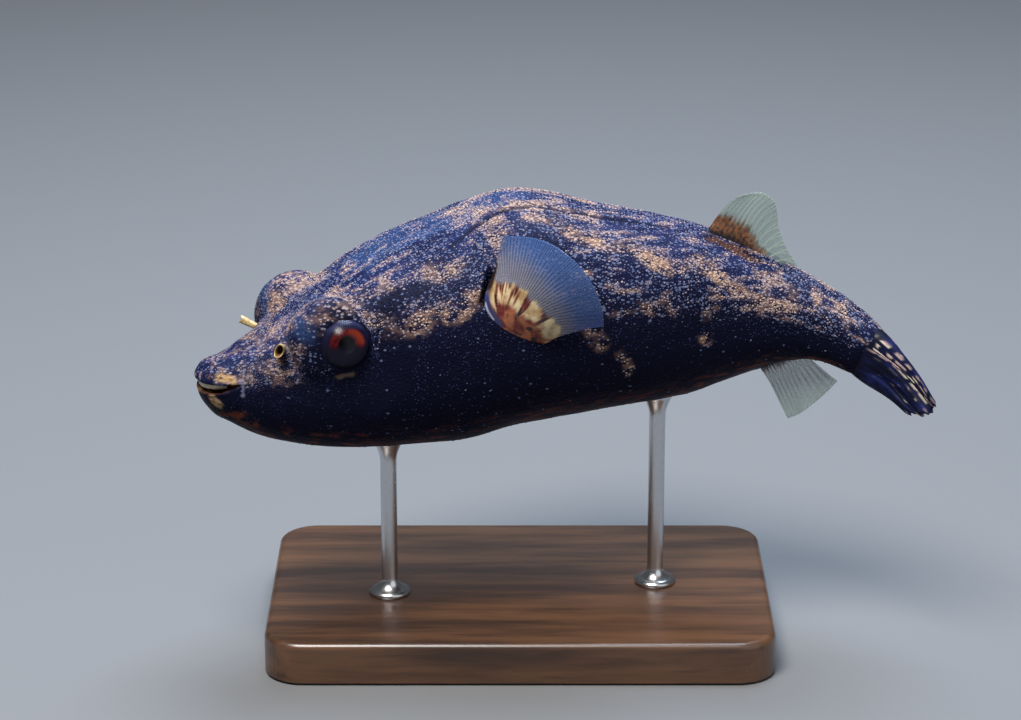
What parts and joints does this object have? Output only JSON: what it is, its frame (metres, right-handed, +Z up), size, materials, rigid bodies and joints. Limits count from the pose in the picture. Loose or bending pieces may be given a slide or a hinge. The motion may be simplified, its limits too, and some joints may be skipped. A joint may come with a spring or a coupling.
{
  "type": "freshwater pufferfish model on a display stand",
  "caption": "Still life-size model of a humpbacked freshwater pufferfish, curved as it swims, held up by rods on a flat base.",
  "frame": {"origin": "centre of the underside of the stand's base, on the surface that the model stands on", "axes": "+Z up, +X towards the tail, -Y towards the fish's left side, which the head and tail both bend towards"},
  "size_m": [0.1316, 0.0591, 0.084],
  "materials": {
    "skin": "wet, finely prickled blue-black skin with sandy speckles and bands",
    "fin": "clear, finely rayed membrane with an orange-brown fleshy base",
    "tail_fin": "dark folded rays with rows of pale spots",
    "feeler": "soft pale yellow flesh",
    "eye": "clear dome over a red iris and a dark pupil",
    "beak": "smooth ivory-coloured tooth plate",
    "stand_wood": "satin dark hardwood",
    "stand_metal": "polished steel rod"
  },
  "bodies": {
    "root": {"head": "skin", "trunk": "skin", "tail": "skin", "dorsal_fin": "fin", "anal_fin": "fin", "caudal_fin": "tail_fin", "pectoral_fin_left": "fin", "pectoral_fin_right": "fin", "nostril_feeler_left": "feeler", "nostril_feeler_right": "feeler", "eye_left": "eye", "eye_right": "eye", "beak_upper": "beak", "beak_lower": "beak", "stand_base": "stand_wood", "stand_rod_front": "stand_metal", "stand_rod_rear": "stand_metal"}
  },
  "joints": []
}
